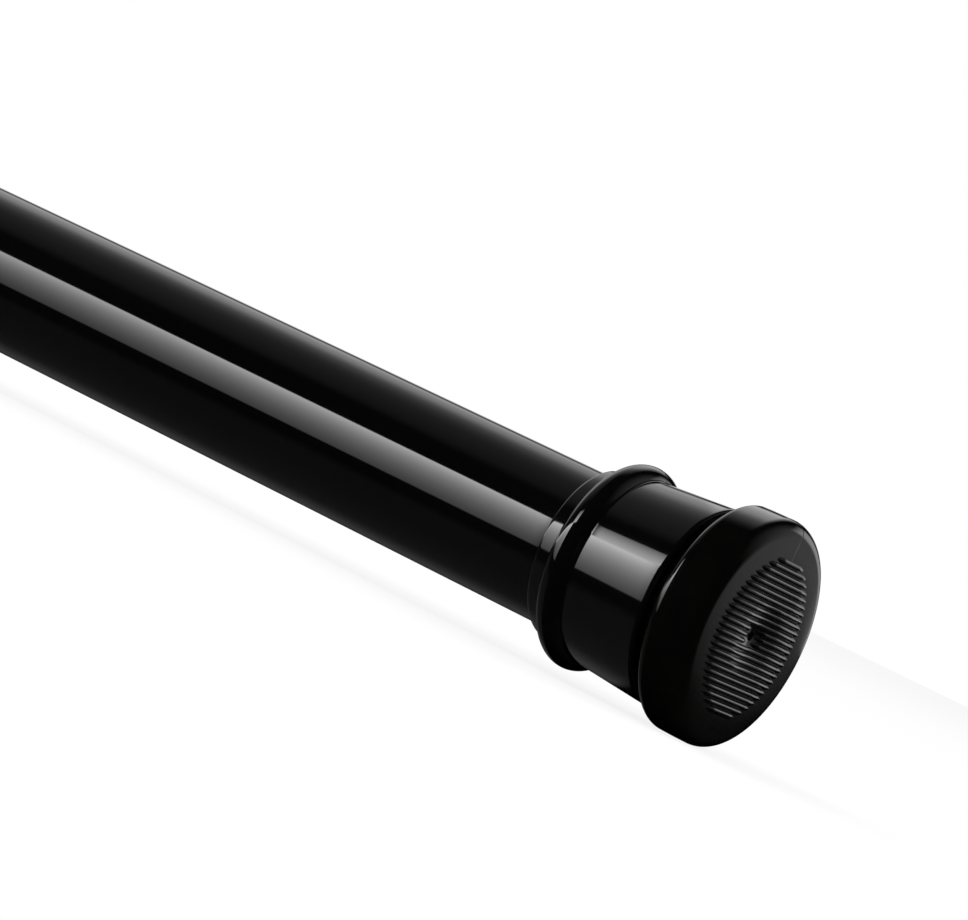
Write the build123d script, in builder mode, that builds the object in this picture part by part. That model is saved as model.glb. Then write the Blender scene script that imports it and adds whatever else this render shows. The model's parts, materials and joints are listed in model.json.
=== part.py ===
from build123d import *
from math import floor, radians, tan
import os

# Spring tension rod, millimetres. The rod lies along X. The origin is the centre of the outer wall face,
# +X points out of that face and +Z is up, so every station behind the face has a negative x.

# Tubes
outer_tube_diameter = 25.0
outer_tube_wall = 0.7
outer_tube_length = 560.0
inner_tube_diameter = 22.0
inner_tube_wall = 0.7
inner_tube_length = 440.0
tube_edge_chamfer = 0.2

# How far the inner half is drawn out as modelled, and the gap left when it is pushed right in
drawn_out = 90.0
closed_gap = 2.0

# Radii closer than this are one size, used to pick edges
same_size = 0.01

# Rubber foot
foot_radius = 18.2
foot_rim_round = 2.4
foot_flank_length = 2.6
foot_lip_radius = 17.5
foot_lip_round = 0.7
foot_underside_radius = 18.0
foot_depth = 8.8
foot_neck_radius = 14.4
foot_neck_length = 2.1
pad_radius = 12.9
rib_pitch = 1.0
rib_width = 0.58
rib_height = 0.5
rib_root = 0.4
dish_radius = 6.0
dish_depth = 1.0
pit_radius = 0.75
pit_depth = 0.9

# End sleeve, measured back from the sleeve's front face
sleeve_web_thickness = 2.0
sleeve_front_radius = 16.1
sleeve_front_round = 0.5
sleeve_barrel_length = 14.1
sleeve_barrel_back_radius = 15.0
bead_length = 4.6
bead_radius = 16.65
bead_back_radius = 14.3
lip_length = 3.1
lip_radius = 13.7
lip_round = 0.7

# End plug
plug_clearance = 0.08
plug_length = 20.0
plug_wall = 1.8
plug_flange_thickness = 1.5
plug_boss_radius = 6.4
stud_radius = 4.4
stud_length = 5.4
stud_head_radius = 6.0
stud_head_thickness = 2.0
stud_clearance = 0.12

# Mouth bush
bush_running_clearance = 0.08
bush_liner_length = 18.0
bush_skirt_length = 7.0
bush_skirt_thickness = 1.0
bush_front_thickness = 2.2
bush_chamfer = 0.6

# Twist lock. The collar's back end stands this far in front of the inner tube's mouth.
lock_gap = 40.0
collar_length = 32.0
collar_clearance = 0.3
collar_slot_width = 2.0
collar_slot_count = 4
collar_base_length = 13.0
cone_half_angle = 8.0
cone_small_radius = 6.0
cone_clearance = 0.34
cone_travel = 2.0
cone_end_gap = 1.6
cone_head_length = 5.0
cone_head_radius = 10.4
cone_head_gap = 2.0
cone_key_width = 1.6
cone_key_radius = 10.4
nut_across_flats = 10.0
nut_length = 5.0
nut_clearance = 0.05
ring_width = 2.4
ring_groove_play = 0.1
ring_groove_radius = 9.4
ring_thickness = 2.1
ring_running_clearance = 0.06
ring_gap = 3.0

# Spindle
screw_radius = 3.0
screw_clearance = 0.08
shoulder_radius = 6.0
shoulder_thickness = 2.0
washer_radius = 8.0
washer_thickness = 1.0
hex_across_flats = 6.0
hex_clearance = 0.1
clip_radius = 4.8
clip_thickness = 0.8
clip_opening = 3.2
clip_groove_radius = 2.2
clip_end_margin = 1.2

# Spring and its seats
guide_flange_thickness = 2.5
guide_running_clearance = 0.08
guide_length = 20.0
follower_thickness = 3.0
follower_clearance = 0.4
follower_gap = 0.4
spindle_end_radius = 2.5
spigot_length = 6.0
spigot_radius = 6.4
spring_wire_radius = 1.0
spring_mean_radius = 7.9
spring_length = 85.0
spring_turns = 6
spring_wire_flats = 6
stop_thickness = 8.0

# Stations along the rod, from the outer wall face back
sleeve_front = -(foot_depth + foot_neck_length)
plug_seat = sleeve_front - sleeve_web_thickness
tube_end = plug_seat - plug_flange_thickness
sleeve_back = sleeve_front - sleeve_barrel_length - bead_length - lip_length
outer_mouth = tube_end - outer_tube_length
bush_front = outer_mouth - bush_front_thickness
cap_length = -sleeve_back
inner_face = bush_front - closed_gap - cap_length - drawn_out
inner_tube_far_end = inner_face - tube_end
inner_mouth = inner_tube_far_end + inner_tube_length

# Radii that follow from the tubes
outer_tube_radius = outer_tube_diameter / 2
outer_bore_radius = outer_tube_radius - outer_tube_wall
inner_tube_radius = inner_tube_diameter / 2
inner_bore_radius = inner_tube_radius - inner_tube_wall

# Stations of the lock and of the spring
collar_back = inner_mouth + lock_gap
collar_front = collar_back + collar_length
collar_floor = collar_back + collar_base_length
washer_back = collar_back - washer_thickness
shoulder_back = washer_back - shoulder_thickness
cone_nose = collar_floor + cone_travel + cone_end_gap
cone_head_front = collar_front + cone_travel + cone_head_gap + cone_head_length
clip_station = cone_head_front + clip_thickness
screw_end = clip_station + clip_end_margin
guide_back = inner_mouth - guide_length
follower_front = guide_back - follower_gap
follower_seat = follower_front - follower_thickness
follower_tip = follower_seat - spigot_length
spindle_tip = follower_tip - clip_thickness - clip_end_margin
spring_end = follower_seat - spring_length
cone_slope = tan(radians(cone_half_angle))


def tube(front, length, radius, wall):
    """A drawn tube with its cut edges broken."""
    with BuildPart() as pipe:
        with BuildSketch(Plane.YZ.offset(front)):
            Circle(radius)
            Circle(radius - wall, mode=Mode.SUBTRACT)
        extrude(amount=-length)
        chamfer(pipe.edges().filter_by(GeomType.CIRCLE), tube_edge_chamfer)
    return pipe.part


def end_sleeve(tube_radius):
    """Moulded sleeve, turned about X: web in front, flaring barrel, half-round bead, thin lip."""
    barrel_back = sleeve_front - sleeve_barrel_length
    bead_back = barrel_back - bead_length
    bead_middle = (barrel_back + bead_back) / 2
    bore_radius = tube_radius + plug_clearance
    with BuildPart() as sleeve:
        with BuildSketch(Plane.XZ):
            with BuildLine():
                Polyline(
                    (bead_back, bead_back_radius),
                    (sleeve_back, lip_radius),
                    (sleeve_back, bore_radius),
                    (plug_seat, bore_radius),
                    (plug_seat, plug_boss_radius + plug_clearance),
                    (sleeve_front, plug_boss_radius + plug_clearance),
                    (sleeve_front, sleeve_front_radius),
                    (barrel_back, sleeve_barrel_back_radius),
                )
                ThreePointArc(
                    (barrel_back, sleeve_barrel_back_radius),
                    (bead_middle, bead_radius),
                    (bead_back, bead_back_radius),
                )
            make_face()
        revolve(axis=Axis.X)
        front_edges = sleeve.edges().filter_by(GeomType.CIRCLE).group_by(Axis.X)[-1]
        fillet(front_edges.sort_by(SortBy.RADIUS)[-1], sleeve_front_round)
        lip_edges = sleeve.edges().filter_by(GeomType.CIRCLE).group_by(Axis.X)[0]
        fillet(lip_edges.sort_by(SortBy.RADIUS)[-1], lip_round)
    return sleeve.part


# Ribs of the pad: the slice between the dished rib tops and their roots in the foot, kept only where the
# parallel bars stand
with BuildPart() as pad_ribs:
    rib_floor = -rib_height - rib_root
    with BuildSketch(Plane.XZ):
        with BuildLine():
            Polyline(
                (-dish_depth, 0),
                (0, dish_radius),
                (0, pad_radius),
                (rib_floor, pad_radius),
                (rib_floor, dish_radius),
                (rib_floor - dish_depth, 0),
                close=True,
            )
        make_face()
    revolve(axis=Axis.X)
    rib_count = 2 * floor((pad_radius - rib_width) / rib_pitch) + 1
    with BuildSketch(Plane.YZ.offset(-foot_depth)):
        with GridLocations(1, rib_pitch, 1, rib_count):
            Rectangle(2 * foot_radius, rib_width)
    extrude(amount=2 * foot_depth, mode=Mode.INTERSECT)

# Rubber foot: a mushroom turned about X, hollowed for the plug's stud, with the ribs standing on its face
with BuildPart() as foot:
    face_station = -rib_height
    rim_station = face_station - foot_rim_round
    flank_station = rim_station - foot_flank_length
    stud_head_front = sleeve_front + stud_length + stud_head_thickness + stud_clearance
    stud_neck_front = sleeve_front + stud_length - stud_clearance
    with BuildSketch(Plane.XZ):
        with BuildLine():
            Polyline(
                (stud_head_front, 0),
                (stud_head_front, stud_head_radius + stud_clearance),
                (stud_neck_front, stud_head_radius + stud_clearance),
                (stud_neck_front, stud_radius + stud_clearance),
                (sleeve_front, stud_radius + stud_clearance),
                (sleeve_front, foot_neck_radius),
                (-foot_depth, foot_neck_radius),
                (-foot_depth, foot_lip_radius),
            )
            ThreePointArc(
                (-foot_depth, foot_lip_radius),
                ((flank_station - foot_depth) / 2, foot_underside_radius),
                (flank_station, foot_radius),
            )
            Line((flank_station, foot_radius), (rim_station, foot_radius))
            rim_corner = (face_station, foot_radius - foot_rim_round)
            RadiusArc((rim_station, foot_radius), rim_corner, -foot_rim_round)
            Polyline(
                rim_corner,
                (face_station, dish_radius),
                (face_station - dish_depth, 0),
                (stud_head_front, 0),
            )
        make_face()
    revolve(axis=Axis.X)
    foot_edges = foot.edges().filter_by(GeomType.CIRCLE)
    fillet(foot_edges.filter_by(lambda e: abs(e.radius - foot_lip_radius) < same_size), foot_lip_round)
    add(pad_ribs.part)
    with BuildSketch(Plane.YZ):
        Circle(pit_radius)
    extrude(amount=-dish_depth - pit_depth, mode=Mode.SUBTRACT)


def end_plug(tube_radius, bore_radius):
    """Plug in the tube's end: ribbed hollow shank, flange, boss through the web, headed stud."""
    shank_radius = bore_radius - plug_clearance
    hollow_radius = shank_radius - plug_wall
    stud_head_back = sleeve_front + stud_length
    with BuildPart() as plug:
        with BuildSketch(Plane.XZ):
            with BuildLine():
                Polyline(
                    (tube_end - plug_length, hollow_radius),
                    (tube_end - plug_length, shank_radius),
                    (tube_end, shank_radius),
                    (tube_end, tube_radius),
                    (plug_seat, tube_radius),
                    (plug_seat, plug_boss_radius),
                    (sleeve_front, plug_boss_radius),
                    (sleeve_front, stud_radius),
                    (stud_head_back, stud_radius),
                    (stud_head_back, stud_head_radius),
                    (stud_head_back + stud_head_thickness, stud_head_radius - stud_head_thickness / 2),
                    (stud_head_back + stud_head_thickness, 0),
                    (tube_end - plug_wall, 0),
                    (tube_end - plug_wall, hollow_radius),
                    close=True,
                )
            make_face()
        revolve(axis=Axis.X)
        with BuildSketch(Plane.YZ.offset(tube_end - plug_length)):
            with PolarLocations(0, 2):
                Rectangle(2 * hollow_radius + plug_wall, plug_wall)
            Rectangle(plug_wall, 2 * hollow_radius + plug_wall)
        extrude(amount=plug_length - plug_wall)
    return plug.part


def placed_at_far_end(piece):
    """The same piece turned to face the other way, with its wall face at the rod's far end."""
    return Pos(inner_face, 0, 0) * Rot(0, 0, 180) * piece


# Mouth bush: a turned collar with a thin liner inside the outer tube and a short skirt outside it
with BuildPart() as mouth_bush:
    liner_radius = inner_tube_radius + bush_running_clearance
    skirt_bore = outer_tube_radius + plug_clearance
    skirt_radius = skirt_bore + bush_skirt_thickness
    with BuildSketch(Plane.XZ):
        with BuildLine():
            Polyline(
                (bush_front, liner_radius),
                (bush_front, skirt_radius),
                (outer_mouth + bush_skirt_length, skirt_radius),
                (outer_mouth + bush_skirt_length, skirt_bore),
                (outer_mouth, skirt_bore),
                (outer_mouth, outer_bore_radius - plug_clearance),
                (outer_mouth + bush_liner_length, outer_bore_radius - plug_clearance),
                (outer_mouth + bush_liner_length, liner_radius),
                close=True,
            )
        make_face()
    revolve(axis=Axis.X)
    bush_edges = mouth_bush.edges().filter_by(GeomType.CIRCLE)
    chamfer(bush_edges.filter_by(lambda e: abs(e.radius - skirt_radius) < same_size), bush_chamfer)

# Expander collar: solid base with the ring groove, then a tapered bore slotted into fingers
with BuildPart() as expander_collar:
    collar_radius = outer_bore_radius - collar_clearance
    groove_back = collar_back + (collar_base_length - ring_width) / 2 - ring_groove_play
    groove_front = groove_back + ring_width + 2 * ring_groove_play
    collar_mouth_radius = cone_small_radius + (collar_front - collar_floor) * cone_slope
    with BuildSketch(Plane.XZ):
        with BuildLine():
            Polyline(
                (collar_back, screw_radius + screw_clearance),
                (collar_back, collar_radius),
                (groove_back, collar_radius),
                (groove_back, ring_groove_radius),
                (groove_front, ring_groove_radius),
                (groove_front, collar_radius),
                (collar_front, collar_radius),
                (collar_front, collar_mouth_radius),
                (collar_floor, cone_small_radius),
                (collar_floor, screw_radius + screw_clearance),
                close=True,
            )
        make_face()
    revolve(axis=Axis.X)
    with BuildSketch(Plane.YZ.offset(collar_floor)):
        with PolarLocations(0, collar_slot_count // 2, angular_range=180):
            Rectangle(3 * collar_radius, collar_slot_width)
    extrude(amount=collar_length, mode=Mode.SUBTRACT)

# Drag ring: a split ring that rubs on the outer tube's bore
with BuildPart() as drag_ring:
    ring_radius = outer_bore_radius - ring_running_clearance
    with BuildSketch(Plane.YZ.offset(groove_back + ring_groove_play)):
        Circle(ring_radius)
        Circle(ring_radius - ring_thickness, mode=Mode.SUBTRACT)
        with Locations((0, ring_radius)):
            Rectangle(ring_gap, 3 * ring_thickness, mode=Mode.SUBTRACT)
    extrude(amount=ring_width)

# Expander cone: tapered nose, keys that run in the collar's slots, head with a pocket for the nut
with BuildPart() as expander_cone:
    head_back = cone_head_front - cone_head_length
    taper_front_radius = cone_small_radius + (head_back - collar_floor) * cone_slope - cone_clearance
    nose_radius = cone_small_radius + (cone_nose - collar_floor) * cone_slope - cone_clearance
    with BuildSketch(Plane.XZ):
        with BuildLine():
            Polyline(
                (cone_nose, screw_radius + screw_clearance),
                (cone_nose, nose_radius),
                (head_back, taper_front_radius),
                (head_back, cone_head_radius),
                (cone_head_front, cone_head_radius),
                (cone_head_front, screw_radius + screw_clearance),
                close=True,
            )
        make_face()
    revolve(axis=Axis.X)
    with BuildSketch(Plane.YZ.offset(head_back)):
        with PolarLocations(0, collar_slot_count // 2, angular_range=180):
            Rectangle(2 * cone_key_radius, cone_key_width)
        Circle(nose_radius - cone_clearance, mode=Mode.SUBTRACT)
    extrude(amount=-(head_back - cone_nose))
    with BuildSketch(Plane.YZ.offset(cone_head_front)):
        RegularPolygon(nut_across_flats / 2 + nut_clearance, 6, major_radius=False)
    extrude(amount=-nut_length, mode=Mode.SUBTRACT)

with BuildPart() as cone_nut:
    with BuildSketch(Plane.YZ.offset(cone_head_front)):
        RegularPolygon(nut_across_flats / 2, 6, major_radius=False)
        Circle(screw_radius + screw_clearance, mode=Mode.SUBTRACT)
    extrude(amount=-nut_length)

# Lock spindle: screw, shoulder and turned end are one turned bar, the shank between them hexagonal
with BuildPart() as lock_spindle:
    with BuildSketch(Plane.XZ):
        with BuildLine():
            Polyline(
                (spindle_tip, 0),
                (spindle_tip, spindle_end_radius),
                (follower_tip - clip_thickness, spindle_end_radius),
                (follower_tip - clip_thickness, clip_groove_radius),
                (follower_tip, clip_groove_radius),
                (follower_tip, spindle_end_radius),
                (shoulder_back, spindle_end_radius),
                (shoulder_back, shoulder_radius),
                (washer_back, shoulder_radius),
                (washer_back, screw_radius),
                (clip_station - clip_thickness, screw_radius),
                (clip_station - clip_thickness, clip_groove_radius),
                (clip_station, clip_groove_radius),
                (clip_station, screw_radius),
                (screw_end, screw_radius),
                (screw_end, 0),
                close=True,
            )
        make_face()
    revolve(axis=Axis.X)
    with BuildSketch(Plane.YZ.offset(shoulder_back)):
        RegularPolygon(hex_across_flats / 2, 6, major_radius=False)
    extrude(amount=-(shoulder_back - follower_front))

with BuildPart() as thrust_washer:
    with BuildSketch(Plane.YZ.offset(collar_back)):
        Circle(washer_radius)
        Circle(screw_radius + screw_clearance, mode=Mode.SUBTRACT)
    extrude(amount=-washer_thickness)


def retaining_clip(back):
    """Open ring that snaps into a groove of the spindle."""
    with BuildPart() as clip:
        with BuildSketch(Plane.YZ.offset(back)):
            Circle(clip_radius)
            Circle(clip_groove_radius + screw_clearance, mode=Mode.SUBTRACT)
            with Locations((0, clip_radius)):
                Rectangle(clip_opening, 2 * clip_radius, mode=Mode.SUBTRACT)
        extrude(amount=clip_thickness)
    return clip.part


# Spring follower: flanged bush fixed on the spindle's turned end
with BuildPart() as spring_follower:
    with BuildSketch(Plane.XZ):
        with BuildLine():
            Polyline(
                (follower_tip, spindle_end_radius + screw_clearance),
                (follower_tip, spigot_radius),
                (follower_seat, spigot_radius),
                (follower_seat, inner_bore_radius - follower_clearance),
                (follower_front, inner_bore_radius - follower_clearance),
                (follower_front, spindle_end_radius + screw_clearance),
                close=True,
            )
        make_face()
    revolve(axis=Axis.X)

# Guide plug: pressed into the inner tube's hidden mouth, its flange glides in the outer tube
with BuildPart() as guide_plug:
    with BuildSketch(Plane.XZ):
        with BuildLine():
            Polyline(
                (guide_back, 0),
                (guide_back, inner_bore_radius - plug_clearance),
                (inner_mouth, inner_bore_radius - plug_clearance),
                (inner_mouth, outer_bore_radius - guide_running_clearance),
                (inner_mouth + guide_flange_thickness, outer_bore_radius - guide_running_clearance),
                (inner_mouth + guide_flange_thickness, 0),
                close=True,
            )
        make_face()
    revolve(axis=Axis.X)
    with BuildSketch(Plane.YZ.offset(guide_back)):
        RegularPolygon(hex_across_flats / 2 + hex_clearance, 6, major_radius=False)
    extrude(amount=guide_length + guide_flange_thickness, mode=Mode.SUBTRACT)

# Compression spring between the follower and the stop
with BuildPart() as compression_spring:
    spring_pitch = (spring_length - 2 * spring_wire_radius) / spring_turns
    coil_start = (follower_seat - spring_wire_radius, 0, 0)
    with BuildLine() as coil:
        Helix(spring_pitch, spring_turns * spring_pitch, spring_mean_radius, coil_start, (-1, 0, 0))
    with BuildSketch(Plane(coil.line @ 0, z_dir=coil.line % 0)):
        RegularPolygon(spring_wire_radius, spring_wire_flats)
    sweep(is_frenet=True)

# Spring stop: a hollow plug fixed inside the inner tube, with a spigot that centres the spring
with BuildPart() as spring_stop:
    with BuildSketch(Plane.XZ):
        with BuildLine():
            Polyline(
                (spring_end - stop_thickness, 0),
                (spring_end - stop_thickness, inner_bore_radius - plug_clearance),
                (spring_end, inner_bore_radius - plug_clearance),
                (spring_end, spigot_radius),
                (spring_end + spigot_length, spigot_radius),
                (spring_end + spigot_length, 0),
                close=True,
            )
        make_face()
    revolve(axis=Axis.X)

pieces = {
    "outer_tube": tube(tube_end, outer_tube_length, outer_tube_radius, outer_tube_wall),
    "outer_end_plug": end_plug(outer_tube_radius, outer_bore_radius),
    "outer_end_sleeve": end_sleeve(outer_tube_radius),
    "outer_bumper": foot.part,
    "mouth_bush": mouth_bush.part,
    "expander_collar": expander_collar.part,
    "drag_ring": drag_ring.part,
    "expander_cone": expander_cone.part,
    "cone_nut": cone_nut.part,
    "lock_spindle": lock_spindle.part,
    "thrust_washer": thrust_washer.part,
    "cone_clip": retaining_clip(clip_station - clip_thickness),
    "spring_follower": spring_follower.part,
    "follower_clip": retaining_clip(follower_tip - clip_thickness),
    "inner_tube": tube(inner_mouth, inner_tube_length, inner_tube_radius, inner_tube_wall),
    "guide_plug": guide_plug.part,
    "spring_stop": spring_stop.part,
    "compression_spring": compression_spring.part,
    "inner_end_plug": placed_at_far_end(end_plug(inner_tube_radius, inner_bore_radius)),
    "inner_end_sleeve": placed_at_far_end(end_sleeve(inner_tube_radius)),
    "inner_bumper": placed_at_far_end(foot.part),
}

os.makedirs("parts", exist_ok=True)
for name, piece in pieces.items():
    piece.label = name
    export_step(piece, f"parts/{name}.step")
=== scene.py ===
"""Spring tension rod: the smooth outer pieces, the finishes and the studio, built round the packed frame."""

import json
from math import atan2, cos, pi, radians, sin, sqrt

import bmesh
import bpy
from bpy.props import FloatProperty, FloatVectorProperty, IntProperty, PointerProperty
from mathutils import Matrix, Vector

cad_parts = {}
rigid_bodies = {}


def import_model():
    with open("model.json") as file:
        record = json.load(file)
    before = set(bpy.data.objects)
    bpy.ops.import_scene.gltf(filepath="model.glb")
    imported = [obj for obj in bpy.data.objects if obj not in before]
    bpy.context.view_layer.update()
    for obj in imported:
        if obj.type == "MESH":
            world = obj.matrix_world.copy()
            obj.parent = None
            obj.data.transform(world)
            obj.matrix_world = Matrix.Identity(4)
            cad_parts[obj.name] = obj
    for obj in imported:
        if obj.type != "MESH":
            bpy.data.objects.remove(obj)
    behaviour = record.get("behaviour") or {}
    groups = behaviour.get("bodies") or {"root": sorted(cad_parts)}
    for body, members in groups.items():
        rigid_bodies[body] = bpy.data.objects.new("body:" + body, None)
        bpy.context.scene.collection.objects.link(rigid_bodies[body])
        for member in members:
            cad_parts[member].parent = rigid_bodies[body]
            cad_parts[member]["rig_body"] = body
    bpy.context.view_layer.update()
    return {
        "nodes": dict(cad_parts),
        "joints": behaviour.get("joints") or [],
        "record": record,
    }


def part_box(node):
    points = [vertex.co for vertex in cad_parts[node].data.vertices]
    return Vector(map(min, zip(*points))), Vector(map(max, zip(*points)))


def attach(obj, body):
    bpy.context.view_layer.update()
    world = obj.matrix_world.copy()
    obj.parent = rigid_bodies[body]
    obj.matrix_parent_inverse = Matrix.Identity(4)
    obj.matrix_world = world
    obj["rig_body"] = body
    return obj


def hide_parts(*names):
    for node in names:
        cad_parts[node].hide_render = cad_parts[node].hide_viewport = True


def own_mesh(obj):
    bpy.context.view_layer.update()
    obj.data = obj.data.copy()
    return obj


bl_info = {
    "name": "Spring Tension Rod",
    "version": (1, 0, 0),
    "blender": (4, 5, 0),
    "location": "View3D > Sidebar > Tension Rod",
    "description": "Builds a gloss black spring tension rod with moulded end sleeves and ribbed rubber feet",
    "category": "Object",
}

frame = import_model()

MM = 0.001
AXIS = Vector((1, 0, 0))
ACROSS = Vector((0, 1, 0))
CENTRE = Vector((0, 0, 0))

# Points closer together than this are one point, in metres
SAME_PLACE = 1e-7

# How near an edge has to be to the ring that is looked for
NEAR = 0.02 * MM

# Edges that turn by more than this stay sharp
SHARP = radians(32)

# From a corner to the middle of its quarter round, along each side, for a radius of 1
TO_ARC = 1 - sqrt(0.5)

# The materials by slot, made once
FINISHES = {}


def span(node):
    """The first and last x of a CAD node."""
    low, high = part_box(node)
    return low.x, high.x


def reach(node):
    """The outside radius of a turned CAD node."""
    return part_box(node)[1].z


FAR_FACE = span("inner_bumper")[0]
TO_FAR_END = Matrix.Translation((FAR_FACE, 0, 0)) @ Matrix.Rotation(pi, 4, "Z")

# The rod's two ends, and how a fitting made for the outer one is moved to each
ENDS = (("outer", None), ("inner", TO_FAR_END))


def length(name, description, millimetres):
    """A size property of the sidebar, given in millimetres and kept in metres."""
    return FloatProperty(
        name=name, description=description, default=millimetres * MM, precision=5, unit="LENGTH"
    )


def angle(name, description, degrees):
    """An angle property of the sidebar, given in degrees and kept in radians."""
    return FloatProperty(name=name, description=description, default=radians(degrees), unit="ROTATION")


def amount(name, description, value):
    """A plain number of the sidebar."""
    return FloatProperty(name=name, description=description, default=value, precision=4)


def tint(name, description, red, green, blue):
    """A linear colour of the sidebar."""
    return FloatVectorProperty(
        name=name, description=description, default=(red, green, blue), subtype="COLOR", size=3
    )


class RodTubes(bpy.types.PropertyGroup):
    """Sizes of the two drawn tubes."""

    wall: length("Wall", "Wall thickness of both tubes", 0.7)
    edge: length("Broken edge", "Round on the tubes' cut edges", 0.2)
    steps: IntProperty(name="Steps", description="Faces round a turned piece", default=256)


class RodSleeves(bpy.types.PropertyGroup):
    """Sizes of the moulded end sleeves, from the wall face back."""

    web: length("Web", "Thickness of the sleeve's front wall", 2.0)
    web_hole: length("Web hole", "Radius of the hole in the front wall", 6.48)
    front_radius: length("Front radius", "Radius of the barrel at the foot", 16.1)
    front_round: length("Front round", "Round on the barrel's front edge", 0.5)
    barrel_length: length("Barrel", "Length of the flaring barrel", 14.1)
    barrel_back: length("Barrel back radius", "Radius of the barrel at the bead", 15.0)
    bead_length: length("Bead", "Length of the half-round bead", 4.6)
    bead_radius: length("Bead radius", "Outside radius of the bead", 16.65)
    bead_back: length("Bead back radius", "Radius where the bead meets the lip", 14.3)
    lip_radius: length("Lip radius", "Radius of the thin lip on the tube", 13.7)
    lip_round: length("Lip round", "Round on the lip's edge", 0.7)
    bore_gap: length("Bore gap", "Room between the sleeve and its tube", 0.08)
    crease: length("Crease", "Round in the corners beside the bead", 0.22)
    seam_width: length("Seam width", "Half width of the mould seam", 0.06)
    seam_depth: length("Seam depth", "Depth of the mould seam", 0.02)


class RodFeet(bpy.types.PropertyGroup):
    """Sizes of the rubber feet, from the wall face back."""

    rim_round: length("Rim round", "Round between the face and the flank", 2.4)
    flank: length("Flank", "Straight length of the flank", 2.6)
    depth: length("Depth", "From the wall face to the foot's back", 8.8)
    back_radius: length("Back radius", "Radius of the foot's back edge", 18.15)
    back_round: length("Back round", "Round on the foot's back edge", 1.3)
    neck: length("Neck radius", "Radius of the neck in the groove", 14.4)
    pad_radius: length("Pad radius", "Radius of the ribbed pad", 12.9)
    rib_pitch: length("Rib pitch", "From one rib to the next", 1.0)
    rib_width: length("Rib width", "Width of a rib", 0.94)
    rib_height: length("Rib height", "How far the ribs stand out of the face", 0.5)
    rib_tip: length("Rib tip", "Length over which a rib's end slopes down to the face", 2.0)
    dish_radius: length("Dish radius", "Radius of the shallow dish in the pad", 6.0)
    dish_depth: length("Dish depth", "Depth of the dish", 1.0)
    pit_radius: length("Pit radius", "Radius of the pit in the middle", 0.75)
    pit_depth: length("Pit depth", "Depth of the pit under the rib tops", 0.9)
    seam_width: length("Seam width", "Half width of the mould seam", 0.07)
    seam_depth: length("Seam depth", "Depth of the mould seam", 0.05)


class RodBush(bpy.types.PropertyGroup):
    """Sizes of the bush at the thick tube's mouth."""

    skirt: length("Skirt", "How far the bush's skirt reaches over the thick tube", 7.0)
    skirt_round: length("Skirt round", "Round on the skirt's edges", 0.6)
    liner_round: length("Liner round", "Round on the edge that guides the thin tube", 0.3)


class RodSpring(bpy.types.PropertyGroup):
    """Sizes of the compression spring."""

    wire: length("Wire radius", "Radius of the spring's wire", 1.0)
    turns: IntProperty(name="Working turns", description="Turns between the closed ends", default=5)
    wire_faces: IntProperty(name="Wire faces", description="Faces round the wire", default=16)
    turn_steps: IntProperty(name="Turn steps", description="Steps in one turn", default=48)


class RodFinish(bpy.types.PropertyGroup):
    """Colours of the finishes."""

    lacquer: tint("Lacquer", "Black lacquer of the tubes", 0.0012, 0.0012, 0.0013)
    moulding: tint("Moulding", "Polished black plastic of the sleeves", 0.0013, 0.0013, 0.0013)
    rubber: tint("Rubber", "Black rubber of the feet", 0.0011, 0.0012, 0.0012)
    nylon: tint("Nylon", "Black nylon of the end plugs", 0.03, 0.03, 0.03)
    acetal: tint("Acetal", "White acetal of the lock and guides", 0.8, 0.8, 0.77)
    zinc: tint("Zinc", "Zinc-plated steel", 0.6, 0.6, 0.6)
    spring: tint("Spring steel", "Oiled spring steel", 0.35, 0.35, 0.36)


class RodStudio(bpy.types.PropertyGroup):
    """The floor, lights and camera."""

    focal: FloatProperty(name="Focal length", description="Lens of the camera, in millimetres", default=141.3)
    azimuth: angle("Azimuth", "Turn of the camera round the rod", 31.22)
    roll: angle("Roll", "Turn of the camera about its own axis", 25.68)
    distance: length("Distance", "From the camera to the point it looks at", 585.4)
    target: FloatVectorProperty(
        name="Target",
        description="Point that the camera looks at",
        default=(-0.05562, 0, 0.00638),
        subtype="XYZ",
    )
    tent_radius: length("Tent radius", "Radius of the reflection tent round the rod", 150.0)
    tent_behind: length("Tent behind", "How far the tent reaches past the thin end", 1300.0)
    tent_ahead: length("Tent ahead", "How far the tent reaches past the thick end", 450.0)
    strip_end: length("Strip end", "How far behind the wall face the strip light ends", 112.0)
    strip_low: angle("Strip low", "Lower edge of the strip light", -16.6)
    strip_high: angle("Strip high", "Upper edge of the strip light", 25.4)
    strip_power: amount("Strip power", "Brightness of the strip light level with the rod", 2.1)
    strip_rise: angle("Strip rise", "Angle over which the strip light grows by e", 18.8)
    card_radius: length("Card radius", "From the rod's axis to the sleeve card", 60.0)
    card_front: length("Card front", "How far behind the wall face the sleeve card begins", 41.0)
    card_back: length("Card back", "How far behind the wall face the sleeve card ends", 59.5)
    card_low: angle("Card low", "Lower edge of the sleeve card", 23.0)
    card_high: angle("Card high", "Upper edge of the sleeve card", 35.8)
    card_power: amount("Card power", "Brightness of the sleeve card at its lower edge", 6.6)


PANES = (
    ("rod_tubes", RodTubes),
    ("rod_sleeves", RodSleeves),
    ("rod_feet", RodFeet),
    ("rod_bush", RodBush),
    ("rod_spring", RodSpring),
    ("rod_finish", RodFinish),
    ("rod_studio", RodStudio),
)


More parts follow.
